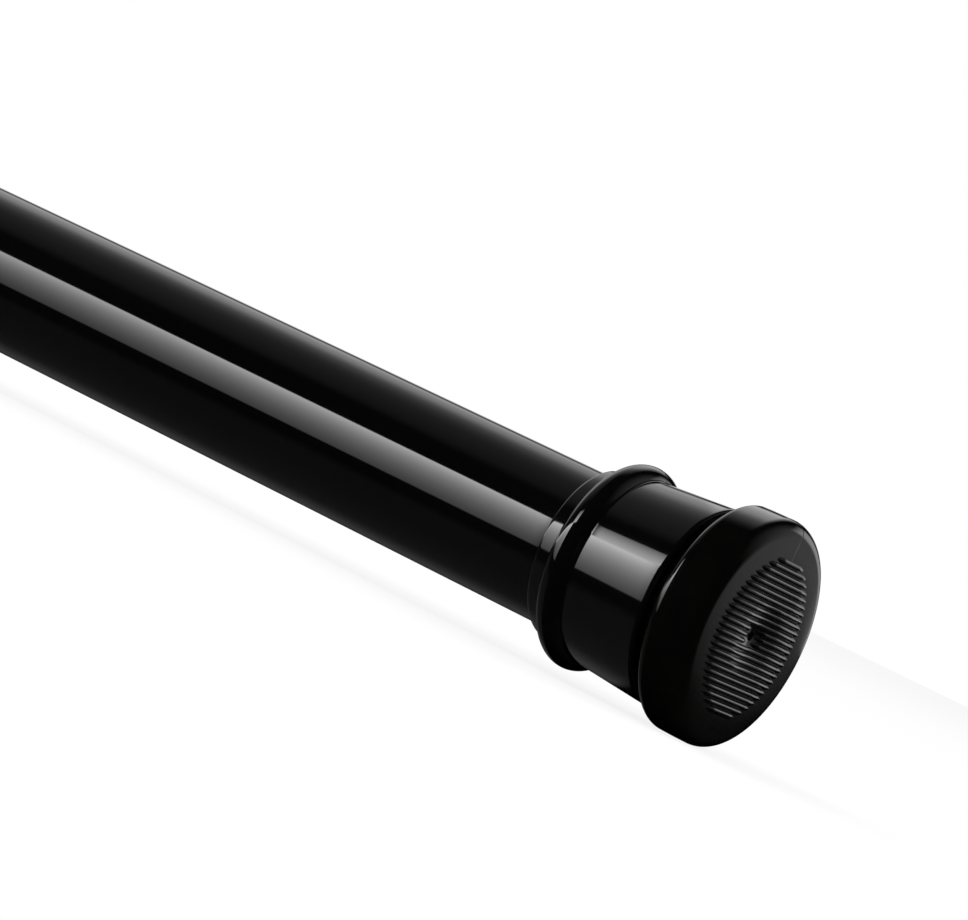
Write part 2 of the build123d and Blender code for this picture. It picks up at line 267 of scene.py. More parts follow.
class Value:
    """A number socket, so that sums on it add Math nodes."""

    def __init__(self, tree, socket):
        self.tree = tree
        self.socket = socket

    def math(self, operation, *others, clamp=False):
        """What a Math node makes of this number and the others."""
        settings = {"operation": operation, "use_clamp": clamp}
        return self.tree.value("ShaderNodeMath", settings, (self, *others))

    def __add__(self, other):
        return self.math("ADD", other)

    __radd__ = __add__

    def __mul__(self, other):
        return self.math("MULTIPLY", other)

    __rmul__ = __mul__

    def __sub__(self, other):
        return self.math("SUBTRACT", other)

    def __rsub__(self, other):
        return (self * -1).math("ADD", other)

    def __truediv__(self, other):
        return self.math("DIVIDE", other)

    def __neg__(self):
        return self * -1

    def ramp(self, low, high):
        """0 below low and 1 above high, with an even rise between them."""
        return (self - low).math("DIVIDE", high - low, clamp=True)

    def fall(self, low, high):
        """1 below low and 0 above high, with an even fall between them."""
        return 1 - self.ramp(low, high)

    def band(self, low, full, still_full, high):
        """0 outside low and high and 1 from full to still_full, with an even rise and fall."""
        return self.ramp(low, full) * self.fall(still_full, high)


class Tree:
    """The node tree of a material or the world."""

    def __init__(self, tree):
        self.tree = tree
        tree.nodes.clear()

    def add(self, kind, settings=None, inputs=()):
        """A node of that type: settings first, then its sockets' values and links, by place or name."""
        node = self.tree.nodes.new(kind)
        for name, value in (settings or {}).items():
            if name == "stops":
                self.set_stops(node.color_ramp, value)
            else:
                setattr(node, name, value)
        named = inputs.items() if isinstance(inputs, dict) else enumerate(inputs)
        for name, value in named:
            socket = node.inputs[name]
            if isinstance(value, Value):
                self.tree.links.new(value.socket, socket)
            elif isinstance(value, bpy.types.NodeSocket):
                self.tree.links.new(value, socket)
            else:
                socket.default_value = value
        return node

    @staticmethod
    def set_stops(ramp, stops):
        """Sets a colour ramp's stops, as (place, grey) pairs."""
        while len(ramp.elements) < len(stops):
            ramp.elements.new(1.0)
        for element, (place, grey) in zip(ramp.elements, stops):
            element.position = place
            element.color = (grey, grey, grey, 1.0)

    def value(self, kind, settings=None, inputs=()):
        """The number that comes out of a new node."""
        return Value(self, self.add(kind, settings, inputs).outputs[0])

    def point(self):
        """The point in the object's own space."""
        return self.add("ShaderNodeTexCoord").outputs["Object"]

    def place(self):
        """The x, y and z of the point in the object's own space."""
        split = self.add("ShaderNodeSeparateXYZ", None, (self.point(),))
        return [Value(self, output) for output in split.outputs]

    def noise(self, point, per_metre, detail=2.0, roughness=0.5, stretch=(1, 1, 1)):
        """Noise from 0 to 1, with that many features in a metre, drawn out where stretch is small."""
        scaled = self.add("ShaderNodeVectorMath", {"operation": "MULTIPLY"}, (point, stretch)).outputs[0]
        inputs = {"Vector": scaled, "Scale": per_metre, "Detail": detail, "Roughness": roughness}
        return self.value("ShaderNodeTexNoise", None, inputs)

    def blend(self, share, first, second):
        """A colour between first and second."""
        factor, colour_a, colour_b, result = 0, 6, 7, 2
        inputs = {factor: share, colour_a: (*first, 1.0), colour_b: (*second, 1.0)}
        return self.add("ShaderNodeMix", {"data_type": "RGBA"}, inputs).outputs[result]

    def bump(self, height, strength, distance):
        """The normal of a surface with that height, in metres."""
        inputs = {"Strength": strength, "Distance": distance, "Height": height}
        return self.add("ShaderNodeBump", None, inputs).outputs[0]

    def shader(self, inputs):
        """The material's one Principled shader, joined to the output."""
        surface = self.add("ShaderNodeBsdfPrincipled", None, inputs)
        self.add("ShaderNodeOutputMaterial", None, (surface.outputs[0],))

    def light(self, glow):
        """White light of that brightness, joined to the output."""
        inputs = {"Vector": (1, 1, 1), "Scale": glow}
        colour = self.add("ShaderNodeVectorMath", {"operation": "SCALE"}, inputs).outputs[0]
        emission = self.add("ShaderNodeEmission", None, {"Color": colour, "Strength": 1.0})
        self.add("ShaderNodeOutputMaterial", None, (emission.outputs[0],))

    def seen_directly(self):
        """1 for the camera's rays and for those off mirrors and through glass, 0 for all others."""
        path = self.add("ShaderNodeLightPath")
        kinds = ("Is Camera Ray", "Is Glossy Ray", "Is Transmission Ray")
        camera, glossy, glass = (Value(self, path.outputs[kind]) for kind in kinds)
        return (camera + glossy).math("ADD", glass, clamp=True)


def new_material(name):
    """An empty material and its tree."""
    material = bpy.data.materials.new(name)
    material.use_nodes = True
    return material, Tree(material.node_tree)


def lighter(colour, share):
    """The colour, share times as bright."""
    return tuple(share * c for c in colour)


def lacquer_finish():
    """Gloss black lacquer: a deep coat with a faint orange peel and a film of fine dust."""
    colour = bpy.context.scene.rod_finish.lacquer
    material, tree = new_material("gloss_lacquer")
    point = tree.point()
    peel = tree.noise(point, per_metre=260, detail=1.0, stretch=(0.5, 1, 1))
    dust = tree.noise(point, per_metre=2600, detail=3.0).ramp(0.62, 0.8)
    wiped = tree.noise(point, per_metre=45, detail=3.0, stretch=(0.3, 1, 1))
    clean, smeared, dusty = 0.035, 0.03, 0.05
    tree.shader(
        {
            "Base Color": tree.blend(wiped.ramp(0.35, 0.75), colour, lighter(colour, 1.6)),
            "Roughness": clean + wiped * smeared + dust * dusty,
            "IOR": 1.5,
            "Normal": tree.bump(peel, strength=0.05, distance=0.02 * MM),
        }
    )
    return material


def moulding_finish():
    """Polished black plastic, with the flow marks of the moulding."""
    colour = bpy.context.scene.rod_finish.moulding
    material, tree = new_material("polished_plastic")
    point = tree.point()
    flow = tree.noise(point, per_metre=120, stretch=(2.5, 1, 1))
    grain = tree.noise(point, per_metre=3000).ramp(0.6, 0.85)
    polished, rippled, grainy = 0.05, 0.03, 0.04
    tree.shader(
        {
            "Base Color": tree.blend(flow.ramp(0.3, 0.8), colour, lighter(colour, 1.5)),
            "Roughness": polished + flow * rippled + grain * grainy,
            "IOR": 1.58,
            "Normal": tree.bump(flow, strength=0.08, distance=0.02 * MM),
        }
    )
    return material


def rubber_finish():
    """Black rubber: a polished flank, and a duller face with grain from the mould and a warmer bloom."""
    colour = bpy.context.scene.rod_finish.rubber
    material, tree = new_material("satin_rubber")
    point = tree.point()
    _, y, z = tree.place()
    face_edge, flank_start = 14 * MM, 16.2 * MM
    flank = (y * y + z * z).math("SQRT").ramp(face_edge, flank_start)
    grain = tree.noise(point, per_metre=5200)
    bloom = tree.noise(point, per_metre=240, detail=4.0, roughness=0.6)
    warm = tuple(share * c for share, c in zip((1.9, 1.7, 1.3), colour))
    dull, polish, bloomed = 0.12, 0.06, 0.05
    tree.shader(
        {
            "Base Color": tree.blend(bloom.ramp(0.35, 0.8), colour, warm),
            "Roughness": dull - flank * polish + bloom * bloomed,
            "IOR": 1.5,
            "Normal": tree.bump(grain, strength=0.2, distance=0.01 * MM),
        }
    )
    return material


def nylon_finish():
    """Black nylon with a dull grain."""
    colour = bpy.context.scene.rod_finish.nylon
    material, tree = new_material("dull_nylon")
    point = tree.point()
    grain = tree.noise(point, per_metre=1800, detail=3.0)
    cloud = tree.noise(point, per_metre=90)
    smooth, grainy = 0.42, 0.15
    tree.shader(
        {
            "Base Color": tree.blend(cloud, lighter(colour, 0.8), lighter(colour, 1.3)),
            "Roughness": smooth + grain * grainy,
            "Normal": tree.bump(grain, strength=0.2, distance=0.03 * MM),
        }
    )
    return material


def acetal_finish():
    """Natural white acetal, slightly greyed by grease."""
    colour = bpy.context.scene.rod_finish.acetal
    material, tree = new_material("greased_acetal")
    point = tree.point()
    grease = tree.noise(point, per_metre=160, detail=4.0, roughness=0.6).ramp(0.5, 0.8)
    grain = tree.noise(point, per_metre=2400)
    dry, slick, grainy = 0.45, 0.2, 0.05
    tree.shader(
        {
            "Base Color": tree.blend(grease, colour, lighter(colour, 0.72)),
            "Roughness": dry - grease * slick + grain * grainy,
            "Normal": tree.bump(grain, strength=0.15, distance=0.02 * MM),
        }
    )
    return material


def steel_finish(name, colour, polish):
    """Steel of that roughness, with turning marks round the rod's axis and a little tarnish."""
    material, tree = new_material(name)
    point = tree.point()
    marks = tree.noise(point, per_metre=900, stretch=(6, 0.4, 0.4))
    tarnish = tree.noise(point, per_metre=130, detail=4.0, roughness=0.6)
    marked, tarnished = 0.12, 0.1
    tree.shader(
        {
            "Base Color": tree.blend(tarnish.ramp(0.45, 0.8), colour, lighter(colour, 0.7)),
            "Metallic": 1.0,
            "Roughness": polish + marks * marked + tarnish * tarnished,
            "Normal": tree.bump(marks, strength=0.12, distance=0.01 * MM),
        }
    )
    return material


def finishes():
    """The finish of each of the record's material slots."""
    colours = bpy.context.scene.rod_finish
    if not FINISHES:
        FINISHES["black_lacquer"] = lacquer_finish()
        FINISHES["gloss_black_plastic"] = moulding_finish()
        FINISHES["black_rubber"] = rubber_finish()
        FINISHES["black_nylon"] = nylon_finish()
        FINISHES["white_acetal"] = acetal_finish()
        FINISHES["zinc_steel"] = steel_finish("zinc_plate", colours.zinc, polish=0.2)
        FINISHES["spring_steel"] = steel_finish("oiled_spring_steel", colours.spring, polish=0.26)
    return FINISHES


def arc(start, middle, end, count):
    """Points of the circular arc through three (x, radius) points, both ends included."""
    (ax, ay), (bx, by), (cx, cy) = start, middle, end
    double_area = 2 * (ax * (by - cy) + bx * (cy - ay) + cx * (ay - by))
    a, b, c = ax * ax + ay * ay, bx * bx + by * by, cx * cx + cy * cy
    x = (a * (by - cy) + b * (cy - ay) + c * (ay - by)) / double_area
    y = (a * (cx - bx) + b * (ax - cx) + c * (bx - ax)) / double_area
    first = atan2(ay - y, ax - x)
    halfway = (atan2(by - y, bx - x) - first + pi) % (2 * pi) - pi
    turn = (atan2(cy - y, cx - x) - first) % (2 * pi)
    if halfway < 0:
        turn -= 2 * pi
    radius = sqrt((ax - x) ** 2 + (ay - y) ** 2)
    angles = [first + turn * i / count for i in range(count + 1)]
    return [(x + radius * cos(t), y + radius * sin(t)) for t in angles]


def turned(outline, steps, closed=True):
    """A mesh of (x, radius) points spun round the rod's axis. An open outline starts and ends on the axis."""
    shape = bmesh.new()
    points = [shape.verts.new((x, 0, r)) for x, r in outline]
    edges = [shape.edges.new(pair) for pair in zip(points, points[1:])]
    if closed:
        edges.append(shape.edges.new((points[-1], points[0])))
    bmesh.ops.spin(
        shape,
        geom=points + edges,
        cent=CENTRE,
        axis=AXIS,
        angle=2 * pi,
        steps=steps,
        use_merge=True,
        use_duplicate=False,
    )
    bmesh.ops.remove_doubles(shape, verts=shape.verts, dist=SAME_PLACE)
    bmesh.ops.recalc_face_normals(shape, faces=shape.faces)
    return shape


def radius_of(vert):
    """Distance of a vertex from the rod's axis."""
    return sqrt(vert.co.y**2 + vert.co.z**2)


def round_ring(shape, x, radius, offset, segments):
    """Rounds the ring of edges at that x and radius."""
    ring = [
        edge
        for edge in shape.edges
        if all(abs(v.co.x - x) < NEAR and abs(radius_of(v) - radius) < NEAR for v in edge.verts)
    ]
    if not ring:
        raise RuntimeError(f"no ring of edges at x {x:.5f} and radius {radius:.5f}")
    bmesh.ops.bevel(
        shape,
        geom=ring,
        offset=offset,
        offset_type="OFFSET",
        segments=segments,
        profile=0.5,
        affect="EDGES",
        material=-1,
    )


def slice_shape(shape, normal, places):
    """Cuts edges into a shape where those planes cross it."""
    for place in places:
        everything = list(shape.verts) + list(shape.edges) + list(shape.faces)
        where = Vector(normal) * place
        bmesh.ops.bisect_plane(shape, geom=everything, dist=SAME_PLACE, plane_co=where, plane_no=normal)


def add_piece(name, shape, node, slot, place=None):
    """Makes a piece of the finished bmesh: it stands for that CAD node and rides on the node's body."""
    if place is not None:
        bmesh.ops.transform(shape, matrix=place, verts=shape.verts)
    for face in shape.faces:
        face.smooth = True
    for edge in shape.edges:
        edge.smooth = edge.calc_face_angle(0.0) < SHARP
    mesh = bpy.data.meshes.new(name)
    shape.to_mesh(mesh)
    shape.free()
    piece = bpy.data.objects.new(name, mesh)
    bpy.context.scene.collection.objects.link(piece)
    mesh.materials.append(finishes()[slot])
    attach(piece, frame["nodes"][node]["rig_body"])
    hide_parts(node)
    return piece


def tube_shape(node):
    """A drawn tube with its cut edges rounded, from its CAD node's ends and radius."""
    sizes = bpy.context.scene.rod_tubes
    (back, front), outside = span(node), reach(node)
    bore = outside - sizes.wall
    shape = turned([(back, bore), (back, outside), (front, outside), (front, bore)], sizes.steps)
    for x in (back, front):
        for radius in (bore, outside):
            round_ring(shape, x, radius, sizes.edge, segments=3)
    past_edge = 2 * sizes.edge
    slice_shape(shape, AXIS, (back + past_edge, front - past_edge))
    return shape


class ROD_OT_tubes(bpy.types.Operator):
    """Build the two lacquered tubes"""

    bl_idname = "rod.tubes"
    bl_label = "Tubes"

    def execute(self, context):
        for node in ("outer_tube", "inner_tube"):
            add_piece(f"{node}_drawn", tube_shape(node), node, "black_lacquer")
        return {"FINISHED"}


def sleeve_shape(tube):
    """A moulded end sleeve on that tube: web, flaring barrel, half-round bead and thin lip."""
    sizes = bpy.context.scene.rod_sleeves
    steps = bpy.context.scene.rod_tubes.steps
    back, front = span("outer_end_sleeve")
    bore = reach(tube) + sizes.bore_gap
    seat = front - sizes.web
    barrel_back = front - sizes.barrel_length
    bead_back = barrel_back - sizes.bead_length
    bead = arc(
        (barrel_back, sizes.barrel_back),
        ((barrel_back + bead_back) / 2, sizes.bead_radius),
        (bead_back, sizes.bead_back),
        count=24,
    )
    outline = [
        (back, bore),
        (seat, bore),
        (seat, sizes.web_hole),
        (front, sizes.web_hole),
        (front, sizes.front_radius),
        *bead,
        (back, sizes.lip_radius),
    ]
    shape = turned(outline, steps)
    round_ring(shape, front, sizes.front_radius, sizes.front_round, segments=5)
    round_ring(shape, back, sizes.lip_radius, sizes.lip_round, segments=6)
    round_ring(shape, barrel_back, sizes.barrel_back, sizes.crease, segments=3)
    round_ring(shape, bead_back, sizes.bead_back, sizes.crease, segments=3)
    past_front = 1.5 * sizes.front_round
    past_bead = 2 * sizes.crease
    past_lip = 1.3 * sizes.lip_round
    stations = (front - past_front, barrel_back + past_bead, bead_back - past_bead, back + past_lip)
    slice_shape(shape, AXIS, stations)
    return shape


class ROD_OT_sleeves(bpy.types.Operator):
    """Build the moulded sleeve of each end"""

    bl_idname = "rod.sleeves"
    bl_label = "End sleeves"

    def execute(self, context):
        sizes = context.scene.rod_sleeves
        for side, place in ENDS:
            shape = sleeve_shape(f"{side}_tube")
            cut_seam(shape, sizes.lip_radius, sizes.seam_width, sizes.seam_depth)
            add_piece(f"{side}_sleeve_moulded", shape, f"{side}_end_sleeve", "gloss_black_plastic", place)
        return {"FINISHED"}


def dish(radius):
    """How deep the pad's dish is at that distance from the axis."""
    sizes = bpy.context.scene.rod_feet
    return sizes.dish_depth * max(0, 1 - radius / sizes.dish_radius)


def foot_shape():
    """The rubber foot without its ribs: a mushroom with a dished and pitted face, hollow for the stud."""
    sizes = bpy.context.scene.rod_feet
    neck_back, top = span("outer_bumper")
    outside = reach("outer_bumper")
    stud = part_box("outer_end_plug")[1].x
    stud_room = 0.12 * MM
    stud_head, stud_neck, stud_head_length = 6.0 * MM, 4.4 * MM, 2.0 * MM
    face = top - sizes.rib_height
    rim = face - sizes.rim_round
    flank = rim - sizes.flank
    head_front = stud + stud_room
    head_back = stud - stud_head_length - stud_room
    back = top - sizes.depth
    back_corner = sizes.back_round * TO_ARC
    back_arc = arc(
        (back, sizes.back_radius - sizes.back_round),
        (back + back_corner, sizes.back_radius - back_corner),
        (back + sizes.back_round, sizes.back_radius),
        count=12,
    )
    rim_corner = sizes.rim_round * TO_ARC
    rim_arc = arc(
        (rim, outside),
        (face - rim_corner, outside - rim_corner),
        (face, outside - sizes.rim_round),
        count=16,
    )
    dish_rings = 9
    dish_step = (sizes.dish_radius - sizes.pit_radius) / dish_rings
    dish_radii = [sizes.dish_radius - dish_step * i for i in range(dish_rings + 1)]
    pit_floor = top - sizes.dish_depth - sizes.pit_depth
    pit_round = sizes.pit_radius * 0.6
    pit_corner = pit_round * TO_ARC
    pit = arc(
        (pit_floor + pit_round, sizes.pit_radius),
        (pit_floor + pit_corner, sizes.pit_radius - pit_corner),
        (pit_floor, sizes.pit_radius - pit_round),
        count=6,
    )
    outline = [
        (head_front, 0),
        (head_front, stud_head + stud_room),
        (head_back, stud_head + stud_room),
        (head_back, stud_neck + stud_room),
        (neck_back, stud_neck + stud_room),
        (neck_back, sizes.neck),
        (back, sizes.neck),
        *back_arc,
        (flank, outside),
        *rim_arc,
        (face, sizes.pad_radius + sizes.rib_width),
        *((face - dish(r), r) for r in dish_radii),
        *pit,
        (pit_floor, 0),
    ]
    return turned(outline, bpy.context.scene.rod_tubes.steps, closed=False)


def cut_seam(shape, inside, half_width, depth):
    """Sinks a fine mould seam along the piece's top and bottom edges, further out than the inside radius."""
    slice_shape(shape, ACROSS, (-2 * half_width, -half_width, 0, half_width, 2 * half_width))
    shape.normal_update()
    bottom = [v for v in shape.verts if abs(v.co.y) < half_width / 2 and radius_of(v) > inside]
    for vert, normal in [(v, v.normal.copy()) for v in bottom]:
        vert.co -= normal * depth


def add_ribs(shape):
    """The pad's ribs: long round bars side by side in a circle, half sunk in the face and following the dish.

    Each bar starts as a ball that is stretched in its middle, and its ends are then straightened to a slope.
    """
    sizes = bpy.context.scene.rod_feet
    face = span("outer_bumper")[1] - sizes.rib_height
    faces_round, rings = 20, 13
    inner_ring = sin(pi / (2 * rings))
    half_width = sizes.rib_width / 2
    count = int((sizes.pad_radius - half_width) / sizes.rib_pitch)
    tip = sizes.rib_tip
    clear_of_pit = sizes.pit_radius + half_width
    stretched = Matrix(
        (
            (sizes.rib_height, 0, 0, 0),
            (0, 0, tip, 0),
            (0, -half_width, 0, 0),
            (0, 0, 0, 1),
        )
    )
    bars = bmesh.new()
    for i in range(-count, count + 1):
        up = i * sizes.rib_pitch
        half_length = sqrt(sizes.pad_radius**2 - up**2) - tip
        stretches = ((-half_length, half_length),)
        if abs(up) < clear_of_pit:
            inner = sqrt(clear_of_pit**2 - up**2) + tip
            stretches = ((-half_length, -inner), (inner, half_length))
        for low, high in stretches:
            place = Matrix.Translation((face, 0, up)) @ stretched
            bar = bmesh.ops.create_uvsphere(
                bars, u_segments=faces_round, v_segments=rings, radius=1, matrix=place
            )
            for vert in bar["verts"]:
                near = min(1, abs(vert.co.y) / tip)
                out = max(0, (near - inner_ring) / (1 - inner_ring))
                vert.co.x -= sizes.rib_height * (sqrt(1 - near * near) - 1 + out)
                vert.co.y += high if vert.co.y > 0 else low
    cuts = 10
    slice_shape(bars, ACROSS, [i * sizes.dish_radius / cuts for i in range(-cuts, cuts + 1)])
    for vert in bars.verts:
        vert.co.x -= dish(radius_of(vert))
    bmesh.ops.recalc_face_normals(bars, faces=bars.faces)
    mesh = bpy.data.meshes.new("ribs")
    bars.to_mesh(mesh)
    bars.free()
    shape.from_mesh(mesh)
    bpy.data.meshes.remove(mesh)


class ROD_OT_feet(bpy.types.Operator):
    """Build the ribbed rubber foot of each end"""

    bl_idname = "rod.feet"
    bl_label = "Rubber feet"

    def execute(self, context):
        sizes = context.scene.rod_feet
        for side, place in ENDS:
            shape = foot_shape()
            cut_seam(shape, sizes.pad_radius + sizes.rib_width, sizes.seam_width, sizes.seam_depth)
            add_ribs(shape)
            add_piece(f"{side}_foot_rubber", shape, f"{side}_bumper", "black_rubber", place)
        return {"FINISHED"}


def bush_shape():
    """The mouth bush: a liner inside the thick tube and a rounded skirt outside it."""
    sizes = bpy.context.scene.rod_bush
    tubes = bpy.context.scene.rod_tubes
    gap = bpy.context.scene.rod_sleeves.bore_gap
    (back, front), outside = span("mouth_bush"), reach("mouth_bush")
    mouth = span("outer_tube")[0]
    skirt_front = mouth + sizes.skirt
    liner = reach("inner_tube") + gap
    bore = reach("outer_tube") - tubes.wall - gap
    skirt_bore = reach("outer_tube") + gap
    outline = [
        (back, liner),
        (back, outside),
        (skirt_front, outside),
        (skirt_front, skirt_bore),
        (mouth, skirt_bore),
        (mouth, bore),
        (front, bore),
        (front, liner),
    ]
    shape = turned(outline, tubes.steps)
    for x in (back, skirt_front):
        round_ring(shape, x, outside, sizes.skirt_round, segments=5)
    round_ring(shape, back, liner, sizes.liner_round, segments=3)
    past_round = 1.2 * sizes.skirt_round
    slice_shape(shape, AXIS, (back + past_round, skirt_front - past_round))
    return shape


class ROD_OT_bush(bpy.types.Operator):
    """Build the bush at the thick tube's mouth"""

    bl_idname = "rod.bush"
    bl_label = "Mouth bush"

    def execute(self, context):
        add_piece("mouth_bush_turned", bush_shape(), "mouth_bush", "gloss_black_plastic")
        return {"FINISHED"}


def spring_shape():
    """A coil of round wire with closed ends, screwed up by the spin tool."""
    sizes = bpy.context.scene.rod_spring
    back, front = span("compression_spring")
    mean_radius = reach("compression_spring") - sizes.wire
    wires_apart, closed_turns = 1.05, 1
    closed_pitch = 2 * sizes.wire * wires_apart
    room = front - back - 2 * sizes.wire
    working_pitch = (room - 2 * closed_turns * closed_pitch) / sizes.turns
    shape = bmesh.new()
    upright = Matrix.Translation((front - sizes.wire, 0, mean_radius)) @ Matrix.Rotation(pi / 2, 4, "X")
    start = bmesh.ops.create_circle(
        shape, cap_ends=True, segments=sizes.wire_faces, radius=sizes.wire, matrix=upright
    )
    section = list({edge for vert in start["verts"] for edge in vert.link_edges}) + start["verts"]
    closed_end = (closed_turns, closed_pitch)
    for turns, pitch in (closed_end, (sizes.turns, working_pitch), closed_end):
        section = bmesh.ops.spin(
            shape,
            geom=section,
            cent=CENTRE,
            axis=AXIS,
            dvec=(-pitch / sizes.turn_steps, 0, 0),
            angle=2 * pi * turns,
            steps=turns * sizes.turn_steps,
            use_merge=False,
            use_duplicate=False,
        )["geom_last"]
    wire_end = [part for part in section if isinstance(part, bmesh.types.BMEdge)]
    bmesh.ops.contextual_create(shape, geom=wire_end)
    bmesh.ops.remove_doubles(shape, verts=shape.verts, dist=SAME_PLACE)
    bmesh.ops.recalc_face_normals(shape, faces=shape.faces)
    return shape


class ROD_OT_spring(bpy.types.Operator):
    """Build the compression spring"""

    bl_idname = "rod.spring"
    bl_label = "Spring"

    def execute(self, context):
        piece = add_piece("spring_wound", spring_shape(), "compression_spring", "spring_steel")
        back, front = span("compression_spring")
        joint = next(j for j in frame["joints"] if j["name"] == "spring_travel")
        pressed = 1 - joint["range_m"][1] / (front - back)
        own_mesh(piece)
        return {"FINISHED"}


class ROD_OT_inner_works(bpy.types.Operator):
    """Finish the CAD pieces of the lock, the guides and the end plugs"""

    bl_idname = "rod.inner_works"
    bl_label = "Lock and guides"

    def execute(self, context):
        materials = finishes()
        slots = {part["node"]: part["material_slot"] for part in frame["record"]["subparts"]}
        for name, node in frame["nodes"].items():
            if node.hide_render:
                continue
            node.data.materials.clear()
            node.data.materials.append(materials[slots[name]])
        return {"FINISHED"}


def stage_object(name, shape, material):
    """A mesh that isn't part of the rod."""
    mesh = bpy.data.meshes.new(name)
    shape.to_mesh(mesh)
    shape.free()
    mesh.materials.append(material)
    item = bpy.data.objects.new(name, mesh)
    bpy.context.scene.collection.objects.link(item)
    return item


def add_floor():
    """A wide pale floor that the rod lies on. The camera sees it white with a soft shadow."""
    material, tree = new_material("studio_floor")
    speckle = tree.noise(tree.point(), per_metre=30, detail=4.0)
    darker, paler = (0.84, 0.84, 0.84), (0.88, 0.88, 0.88)
    diffuse = tree.add("ShaderNodeBsdfDiffuse", None, {"Color": tree.blend(speckle, darker, paler)})
    white = tree.add("ShaderNodeEmission", None, {"Color": (1, 1, 1, 1), "Strength": 1.0})
    whiteness = 0.86
    inputs = (tree.seen_directly() * whiteness, diffuse.outputs[0], white.outputs[0])
    surface = tree.add("ShaderNodeMixShader", None, inputs)
    tree.add("ShaderNodeOutputMaterial", None, (surface.outputs[0],))
    half_width = 6.0
    shape = bmesh.new()
    bmesh.ops.create_grid(shape, x_segments=8, y_segments=8, size=half_width)
    floor_level = -reach("outer_bumper")
    bmesh.ops.translate(shape, verts=shape.verts, vec=(0, 0, floor_level))
    floor = stage_object("studio_floor", shape, material)
    floor.visible_glossy = False


# The sky inside the tent: its grey at each angle round the rod, in degrees up from level in front
SKY = (
    (-180, 0.8),
    (-170, 0.0),
    (-140, 0.12),
    (-125, 0.1),
    (-111, 0.055),
    (-40, 0.05),
    (-30, 0.0),
    (52, 0.0),
    (63, 0.09),
    (89, 0.165),
    (99, 0.255),
    (111, 0.46),
    (125, 1.0),
    (137, 0.95),
    (144, 1.0),
    (148, 0.5),
    (151, 0.12),
    (157, 0.12),
    (161, 0.8),
)

# How the strip light grows towards the thick end, from its far strength
STRIP_FAR, STRIP_GAIN = 0.8, 0.35
STRIP_GROWTH = (-300 * MM, -110 * MM)

# Where the sky ends, and where its bright part goes on over the end fitting
SKY_END = (-101 * MM, -98 * MM)
CROWN_END = (-60 * MM, -20 * MM)
CROWN_GREYS = (0.2, 0.9)
CROWN_POWER = 1.3

# A dim light past the wall face for the pad: behind the rod, weaker towards the floor
PAD_LIGHT_ALONG = (10 * MM, 70 * MM, 115 * MM, 260 * MM)
PAD_LIGHT_UP = (-18 * MM, 22 * MM)
PAD_LIGHT_LOWEST, PAD_LIGHT_RISE = 0.06, 1.05
PAD_LIGHT_START = -30 * MM
PAD_LIGHT_POWER = 0.33

# A light low behind the foot, for its rims and the bead's far side
RIM_LIGHT_ALONG = (-5 * MM, 15 * MM, 52 * MM, 62 * MM)
RIM_LIGHT_ROUND = (radians(138), radians(150))
RIM_LIGHT_POWER = 1.15

# A strong light far along the rod, behind it and a little above level
FAR_LIGHT_END = (-420 * MM, -340 * MM)
FAR_LIGHT_ROUND = (radians(145), radians(147), radians(168), radians(170))
FAR_LIGHT_POWER = 3


def angle_round_rod(y, z):
    """The angle round the rod's axis, from level in front of the rod upwards."""
    return z.math("ARCTAN2", -y)


def tent_material():
    """Light of the reflection tent: a strip light in front, a grey sky above and behind, black between."""
    studio = bpy.context.scene.rod_studio
    material, tree = new_material("reflection_tent")
    x, y, z = tree.place()
    round_rod = angle_round_rod(y, z)
    soft, end_soft = radians(0.6), 1.5 * MM
    strip = (
        round_rod.band(
            studio.strip_low - soft,
            studio.strip_low + soft,
            studio.strip_high - soft,
            studio.strip_high + soft,
        )
        * (round_rod / studio.strip_rise).math("EXPONENT")
        * studio.strip_power
        * (STRIP_FAR + STRIP_GAIN * x.ramp(*STRIP_GROWTH))
        * x.fall(-studio.strip_end - end_soft, -studio.strip_end + end_soft)
    )
    stops = [((degrees + 180) / 360, grey) for degrees, grey in SKY]
    turn = round_rod.math("MULTIPLY_ADD", 1 / (2 * pi), 0.5)
    sky = tree.value("ShaderNodeValToRGB", {"stops": stops}, (turn,))
    crown = sky.ramp(*CROWN_GREYS) * x.ramp(*SKY_END) * x.fall(*CROWN_END) * CROWN_POWER
    behind = y.ramp(PAD_LIGHT_START, studio.tent_radius)
    upper = PAD_LIGHT_LOWEST + PAD_LIGHT_RISE * z.ramp(*PAD_LIGHT_UP)
    pad_light = behind * upper * x.band(*PAD_LIGHT_ALONG) * PAD_LIGHT_POWER
    rim_light = round_rod.ramp(*RIM_LIGHT_ROUND) * x.band(*RIM_LIGHT_ALONG) * RIM_LIGHT_POWER
    far_light = round_rod.band(*FAR_LIGHT_ROUND) * x.fall(*FAR_LIGHT_END) * FAR_LIGHT_POWER
    tree.light(strip + sky * x.fall(*SKY_END) + crown + pad_light + rim_light + far_light)
    return material


def reflected_only(item):
    """Lets nothing but mirror-like rays see that object."""
    item.visible_camera = False
    item.visible_diffuse = False
    item.visible_transmission = False
    item.visible_shadow = False
    item.visible_volume_scatter = False


